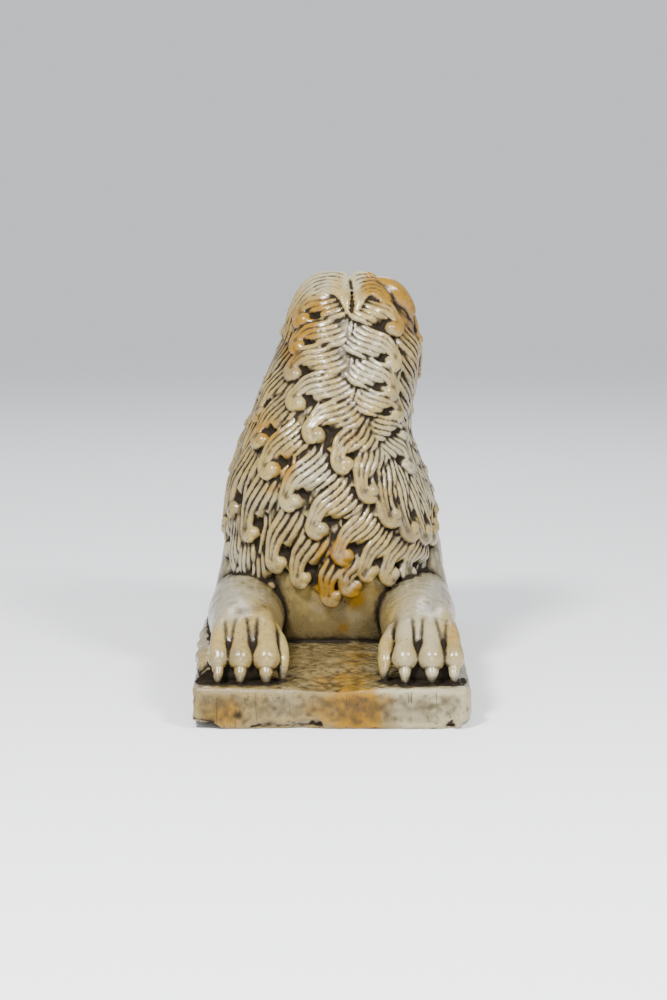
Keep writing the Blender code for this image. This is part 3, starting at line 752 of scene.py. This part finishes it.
# colours of the stone: places in the front view, across and up, radius, strength
tintSettings = {
    "amber": [(-15, 377, 22, 0.8), (-32, 352, 20, 1.0), (-42, 325, 14, 0.8), (48, 400, 18, 0.9), (55, 380, 14, 0.7),
              (86, 366, 18, 0.9), (74, 388, 16, 1.0), (-69, 243, 16, 0.6), (-52, 206, 18, 0.7), (-66, 180, 14, 0.6),
              (0, 112, 18, 1.1), (-12, 74, 16, 0.9), (-8, 46, 14, 0.6), (30, 58, 14, 0.7), (14, 22, 10, 0.6),
              (-66, 30, 12, 0.8), (124, 54, 12, 0.6),
              (-72, 60, 12, 0.5), (20, 236, 12, 0.5), (42, 70, 16, 0.6),
              (-105, -28, 22, 0.9), (-80, -16, 16, 0.5), (28, -24, 22, 1.1), (-10, -24, 20, 0.7), (60, -14, 14, 0.7)],
    "grey": [(-14, 404, 15, 1.1), (24, 408, 12, 1.1), (109, 181, 34, 1.0), (80, 220, 26, 0.8), (-18, 197, 14, 0.8),
             (40, 300, 26, 0.7), (-20, 280, 20, 0.6), (100, 80, 26, 0.9), (-105, 84, 24, 0.8), (100, -22, 30, 1.0),
             (-50, -18, 16, 0.6), (20, 340, 20, 0.5)],
    "spread": 1.3,
}


def tint(places):
    across, up = points[:, 0] / unit, (points[:, 2] - ground) / unit
    facing = ramp(-normals[:, 1], -0.5, 0.2) * (points[:, 1] < 0.02)
    total = np.zeros(len(points))
    for x, z, radius, strength in places:
        far = ((across - x) ** 2 + (up - z) ** 2) / (tintSettings["spread"] * radius) ** 2
        total = np.maximum(total, strength * np.exp(-far))
    return total * facing


warm = 1 - ramp(points[:, 2], ground - 0.004, ground + 0.110)      # the lower block is yellower
warm *= 1 - ramp(-points[:, 1], 0.14, 0.20) * ramp(points[:, 2], ground + 0.004, ground + 0.020)
grey = tint(tintSettings["grey"])
dressed = ramp(-normals[:, 1], 0.6, 0.9) * ramp(ground - points[:, 2], 0.001, 0.005)      # the plinth's upright front
amber = tint(tintSettings["amber"]) - 0.5 * grey
layers = {"paintedShadeAndDirt": shadeAndDirt, "warm": warm, "amber": amber, "grey": grey, "dressed": dressed}
print("hollows", round(float(shadeAndDirt.min()), 2), round(float(shadeAndDirt.max()), 2))


def thinned(target, triangles, group=None):
    bpy.context.view_layer.objects.active = target
    faces = len(target.data.polygons)
    whole = sum(len(face.vertices) - 2 for face in target.data.polygons)
    thin = target.modifiers.new("thin", "DECIMATE")
    thin.ratio = min(triangles / whole, 1)
    if group:
        thin.vertex_group = group
    bpy.ops.object.modifier_apply(modifier=thin.name)
    print("thinned", faces, "faces to", len(target.data.polygons))


# first all over, then only the hidden back, so that the front keeps its detail
thinned(lion, finishSettings["firstTriangles"])
there, facing = pointsOf(lion), normalsOf(lion)
hidden = np.maximum(1 - ramp(-there[:, 1], -0.05, 0.02), ramp(facing[:, 1], 0.2, 0.5))
hiddenGroup = lion.vertex_groups.new(name="hidden")
for level in range(5):
    hiddenGroup.add([int(index) for index in np.nonzero(np.round(hidden * 4) == level)[0]], level / 4, "REPLACE")
thinned(lion, finishSettings["triangles"], "hidden")
lion.vertex_groups.clear()

tree = treeOf(points)
kept = pointsOf(lion)
nearest = np.array([tree.find(point)[1] for point in kept])
for name, values in layers.items():
    layer = lion.data.attributes.new(name, "FLOAT", "POINT")
    layer.data.foreach_set("value", values[nearest].astype(np.float32))

low, high = np.array(cadBox[0]), np.array(cadBox[1])
movePoints(lion, np.clip(kept, low + finishSettings["inside"], high - finishSettings["inside"]))
lion.data.shade_smooth()


# marble

marbleSettings = {
    # the stain and dirt colours paint real scratches and specks, and also the painted shade in the hollows
    "cream": (0.245, 0.176, 0.052, 1), "tan": (0.145, 0.106, 0.042, 1), "greyWhite": (0.240, 0.208, 0.122, 1),
    "amber": (0.180, 0.090, 0.002, 1), "brown": (0.055, 0.022, 0.002, 1), "stainAndShadeColour": (0.030, 0.019, 0.007, 1),
    "vein": (0.045, 0.036, 0.022, 1), "dirtAndShadeColour": (0.013, 0.0095, 0.0060, 1),
    "roughness": 0.17, "specular": 0.45,
    "dirtAndShadeRoughness": 0.72, "dirtAndShadeSpecular": 0.06, "coat": 0.16, "coatRoughness": 0.10,
    "clouds": 26.0, "patches": 7.0, "greyPatches": 9.0, "grains": 110.0, "veins": 5.0, "specks": 380.0, "pits": 160.0,
    "bumpStrength": 0.35, "bumpDistance": 0.0010,
    "scratchStretch": (420, 60, 22), "scratchLean": 0.10,
}


def makeMarble(settings):
    material = bpy.data.materials.new("polishedMarble")
    material.use_nodes = True
    nodes, links = material.node_tree.nodes, material.node_tree.links
    shader = nodes["Principled BSDF"]
    place = nodes.new("ShaderNodeTexCoord").outputs["Object"]

    def noiseAt(scale, detail=4.0, rough=0.55, distortion=0.0, source=place):
        node = nodes.new("ShaderNodeTexNoise")
        node.inputs["Scale"].default_value = scale
        node.inputs["Detail"].default_value = detail
        node.inputs["Roughness"].default_value = rough
        node.inputs["Distortion"].default_value = distortion
        links.new(source, node.inputs["Vector"])
        return node.outputs["Fac"]

    def between(value, start, end, low=0.0, high=1.0):
        node = nodes.new("ShaderNodeMapRange")
        node.interpolation_type = "SMOOTHSTEP"
        for socket, number in (("From Min", start), ("From Max", end), ("To Min", low), ("To Max", high)):
            node.inputs[socket].default_value = number
        links.new(value, node.inputs["Value"])
        return node.outputs["Result"]

    def mixed(share, first, second):
        node = nodes.new("ShaderNodeMix")
        node.data_type = "RGBA"
        for slot, value in ((0, share), (6, first), (7, second)):
            if isinstance(value, (tuple, float)):
                node.inputs[slot].default_value = value
            else:
                links.new(value, node.inputs[slot])
        return node.outputs[2]

    def together(operation, first, second):
        node = nodes.new("ShaderNodeMath")
        node.operation = operation
        node.use_clamp = True
        for slot, value in ((0, first), (1, second)):
            if isinstance(value, float):
                node.inputs[slot].default_value = value
            else:
                links.new(value, node.inputs[slot])
        return node.outputs[0]

    def layer(name):
        node = nodes.new("ShaderNodeAttribute")
        node.attribute_name = name
        return node.outputs["Fac"]

    def plus(value, weight, other):      # value + weight * other, not clamped
        node = nodes.new("ShaderNodeMath")
        node.operation = "MULTIPLY_ADD"
        links.new(other, node.inputs[0])
        node.inputs[1].default_value = weight
        links.new(value, node.inputs[2])
        return node.outputs[0]

    broad, cloudy = noiseAt(settings["patches"], 5.0, 0.6, 0.5), noiseAt(settings["clouds"], 6.0, 0.65, 0.4)
    fine = noiseAt(settings["grains"], 5.0, 0.7)
    tanned = between(plus(plus(cloudy, 0.5, fine), 0.22, layer("warm")), 0.60, 0.92)
    stone = mixed(tanned, settings["cream"], settings["tan"])
    greyed = plus(plus(noiseAt(settings["greyPatches"], 4.0, 0.6), 0.38, layer("grey")), 0.35, cloudy)
    stone = mixed(between(greyed, 0.70, 0.95), stone, settings["greyWhite"])
    yellowed = between(plus(plus(broad, 0.42, layer("amber")), 0.40, cloudy), 0.80, 1.02)
    stone = mixed(yellowed, stone, settings["amber"])
    browned = between(plus(plus(broad, 0.36, layer("amber")), 0.45, fine), 1.02, 1.30, 0.0, 0.8)
    stone = mixed(browned, stone, settings["brown"])
    # darkening from the hollows layer, painted shade and dirt, broken up by noise, and a little more on the plinth's
    # front
    shadeAndDirtLevel = plus(plus(plus(layer("paintedShadeAndDirt"), 0.32, fine), 0.22, cloudy), 0.06, layer("dressed"))
    stainAndShadeShare = between(shadeAndDirtLevel, 0.06, 0.50, 0.0, 0.86)
    stone = mixed(stainAndShadeShare, stone, settings["stainAndShadeColour"])
    dirtAndShadeShare = between(shadeAndDirtLevel, 0.42, 0.74)
    stone = mixed(dirtAndShadeShare, stone, settings["dirtAndShadeColour"])
    marbling = noiseAt(settings["veins"], 8.0, 0.75, 2.5)
    veined = together("MULTIPLY", between(marbling, 0.492, 0.50, 0.0, 0.35), between(marbling, 0.50, 0.508, 1.0, 0.0))
    stone = mixed(veined, stone, settings["vein"])
    upright = nodes.new("ShaderNodeMapping")      # long thin tool scratches down the plinth's front
    upright.inputs["Scale"].default_value = settings["scratchStretch"]
    upright.inputs["Rotation"].default_value = (0, settings["scratchLean"], 0)
    links.new(place, upright.inputs["Vector"])
    scratches = between(noiseAt(1.0, 2.0, 0.5, 0.0, upright.outputs["Vector"]), 0.62, 0.68, 0.0, 0.75)
    scratched = together("MULTIPLY", scratches, layer("dressed"))
    stone = mixed(scratched, stone, settings["stainAndShadeColour"])
    specks = between(noiseAt(settings["specks"], 3.0, 0.6), 0.62, 0.68, 0.0, 0.9)
    speckled = together("MULTIPLY", specks, between(noiseAt(30.0, 3.0), 0.38, 0.56))
    stone = mixed(speckled, stone, settings["dirtAndShadeColour"])
    links.new(stone, shader.inputs["Base Color"])

    # the dirt and painted shade are dull, and the plinth's front is less polished than the figure
    dulled = between(plus(dirtAndShadeShare, 0.40, layer("dressed")), 0.0, 1.0, settings["roughness"], settings["dirtAndShadeRoughness"])
    links.new(plus(dulled, 0.12, fine), shader.inputs["Roughness"])
    waxed = between(plus(stainAndShadeShare, 0.60, layer("dressed")), 0.2, 0.8, settings["coat"], 0.0)
    links.new(waxed, shader.inputs["Coat Weight"])
    shine = between(plus(dirtAndShadeShare, 0.45, layer("dressed")), 0.0, 0.7, settings["specular"], settings["dirtAndShadeSpecular"])
    links.new(shine, shader.inputs["Specular IOR Level"])
    shader.inputs["Coat Roughness"].default_value = settings["coatRoughness"]
    bump = nodes.new("ShaderNodeBump")
    bump.inputs["Strength"].default_value = settings["bumpStrength"]
    bump.inputs["Distance"].default_value = settings["bumpDistance"]
    links.new(plus(plus(noiseAt(settings["pits"], 5.0, 0.7), -0.8, speckled), 0.5, cloudy), bump.inputs["Height"])
    links.new(bump.outputs["Normal"], shader.inputs["Normal"])
    return material


print("marble")
lion.data.materials.clear()
lion.data.materials.append(makeMarble(marbleSettings))
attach(lion, "root")
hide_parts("lion")


# floor, camera and light

roomSettings = {
    "floor": (0.80, 0.81, 0.83, 1), "floorSize": 8, "floorRoughness": 0.8,
    "world": (0.95, 0.97, 1.0, 1), "worldStrength": 0.8,
}

bpy.ops.mesh.primitive_plane_add(size=roomSettings["floorSize"], location=(0, 0, 0))
floor = bpy.context.active_object
floor.name = "floor"
pale = bpy.data.materials.new("paleFloor")
pale.use_nodes = True
pale.node_tree.nodes["Principled BSDF"].inputs["Base Color"].default_value = roomSettings["floor"]
pale.node_tree.nodes["Principled BSDF"].inputs["Roughness"].default_value = roomSettings["floorRoughness"]
floor.data.materials.append(pale)

cameraSettings = {"place": (0.002, -3.175, 0.658), "downward": 8.28, "lens": 102.6, "sensor": 36}
cameraData = bpy.data.cameras.new("camera")
cameraData.sensor_width = cameraSettings["sensor"]
cameraData.lens = cameraSettings["lens"]
camera = bpy.data.objects.new("camera", cameraData)
camera.location = cameraSettings["place"]
camera.rotation_euler = (math.radians(90 - cameraSettings["downward"]), 0, 0)
bpy.context.scene.collection.objects.link(camera)
bpy.context.scene.camera = camera

world = bpy.data.worlds.new("room")
world.use_nodes = True
world.node_tree.nodes["Background"].inputs["Color"].default_value = roomSettings["world"]
world.node_tree.nodes["Background"].inputs["Strength"].default_value = roomSettings["worldStrength"]
bpy.context.scene.world = world

lampSettings = {
    "lamps": [      # place, size, power
        ((-0.8, -1.9, 2.0), 0.42, 150), ((1.2, -1.6, 1.7), 0.42, 80), ((0.0, 1.8, 1.8), 1.2, 20),
        ((0.1, -2.8, 0.5), 0.9, 32)],
    "aim": (0, -0.05, 0.22),
}
for place, size, power in lampSettings["lamps"]:
    lampData = bpy.data.lights.new("lamp", "AREA")
    lampData.size = size
    lampData.energy = power
    lamp = bpy.data.objects.new("lamp", lampData)
    lamp.location = place
    lamp.rotation_euler = (Vector(lampSettings["aim"]) - Vector(place)).to_track_quat("-Z", "Y").to_euler()
    bpy.context.scene.collection.objects.link(lamp)

print("done")
